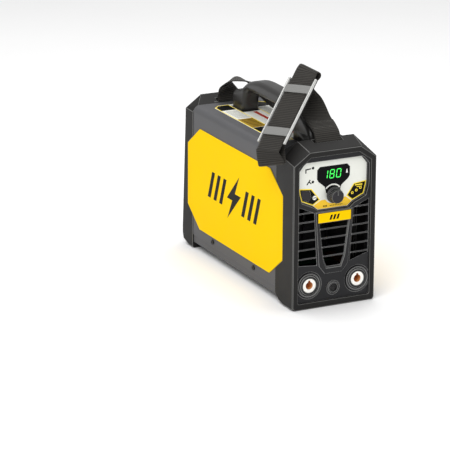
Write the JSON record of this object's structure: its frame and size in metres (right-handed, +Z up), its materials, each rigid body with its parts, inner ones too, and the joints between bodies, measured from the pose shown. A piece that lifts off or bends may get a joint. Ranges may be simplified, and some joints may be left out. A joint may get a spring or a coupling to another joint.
{
  "type": "stick welding inverter",
  "caption": "Portable stick welding inverter: boxy dark case between moulded end frames, yellow side plates, louvred front with display and knob, arched handle and shoulder strap.",
  "frame": {"origin": "on the ground, at the middle of the flat underside of the front end frame, which is the base mount", "axes": "+Z up, the control panel faces -Y, +X to the right when the front panel is looked at"},
  "size_m": [0.1954, 0.4687, 0.3822],
  "materials": {
    "frame_plastic": "fine-textured moulded dark grey",
    "case_paint": "fine-textured dark grey powder coat",
    "panel_plastic": "matt black moulding",
    "plate_yellow": "smooth satin yellow",
    "overlay_film": "printed polyester film",
    "display_lens": "smoked gloss",
    "display_block": "moulded",
    "screw_steel": "zinc plated",
    "screw_black": "blackened",
    "circuit_board": "solder mask",
    "socket_black": "moulded",
    "socket_brass": "turned, nickel faced",
    "heatsink_aluminium": "extruded",
    "capacitor_sleeve": "shrink sleeve",
    "ferrite": "sintered",
    "copper_wire": "enamelled copper",
    "cable_rubber": "matt",
    "webbing": "woven polyester",
    "pad_rubber": "moulded"
  },
  "bodies": {
    "case": {"base_tray": "case_paint", "top_cover": "case_paint", "front_bezel": "frame_plastic", "rear_bezel": "frame_plastic", "front_panel": "panel_plastic", "rear_panel": "panel_plastic", "side_plate_left": "plate_yellow", "side_plate_right": "plate_yellow", "handle": "frame_plastic", "handle_screws": "screw_steel", "cover_screws": "screw_black", "rear_panel_screws": "screw_steel", "front_panel_screws": "screw_steel", "top_label": "overlay_film", "control_overlay": "overlay_film", "display_window": "display_lens", "display_module": "display_block", "encoder_body": "screw_steel", "encoder_nut": "screw_steel", "mode_switch": "panel_plastic", "control_board": "circuit_board", "board_screws": "screw_steel", "badge_plate": "plate_yellow", "socket_insulator_left": "socket_black", "socket_insulator_right": "socket_black", "socket_contact_left": "socket_brass", "socket_contact_right": "socket_brass", "socket_nuts": "socket_black", "remote_connector": "socket_black", "remote_insert": "socket_black", "remote_nut": "screw_steel", "power_board": "circuit_board", "board_standoffs": "screw_steel", "heatsinks": "heatsink_aluminium", "power_transistors": "socket_black", "output_diodes": "socket_black", "bridge_rectifier": "socket_black", "input_capacitors": "capacitor_sleeve", "transformer_core": "ferrite", "transformer_windings": "copper_wire", "output_choke": "copper_wire", "output_busbars": "copper_wire", "fan_frame": "socket_black", "fan_screws": "screw_steel", "power_switch": "socket_black", "cable_gland": "socket_black", "mains_cable": "cable_rubber", "mains_plug": "cable_rubber", "cable_tie": "webbing", "strap_pins": "screw_steel", "shoulder_strap": "webbing"},
    "knob": {"current_knob": "panel_plastic", "encoder_shaft": "screw_steel"},
    "button": {"mode_button": "panel_plastic"},
    "fan": {"fan_rotor": "socket_black"},
    "rocker": {"switch_rocker": "socket_black"},
    "pad": {"shoulder_pad": "pad_rubber"}
  },
  "joints": [
    {"name": "knob_turn", "type": "hinge", "parent": "case", "child": "knob", "pos_m": [0, -0.01875, 0.1895], "axis": [0, 1, 0], "continuous": true},
    {"name": "button_press", "type": "slide", "parent": "case", "child": "button", "axis": [0, 1, 0], "range_m": [0, 0.0006]},
    {"name": "fan_spin", "type": "hinge", "parent": "case", "child": "fan", "pos_m": [0, 0.36125, 0.092], "axis": [0, 1, 0], "continuous": true},
    {"name": "rocker_tilt", "type": "hinge", "parent": "case", "child": "rocker", "pos_m": [-0.03, 0.37675, 0.215], "axis": [0, 0, 1], "range_deg": [-24, 0]},
    {"name": "pad_slide", "type": "slide", "parent": "case", "child": "pad", "axis": [0.6361, 0.3607, 0.6821], "range_m": [-0.012, 0.012]}
  ]
}
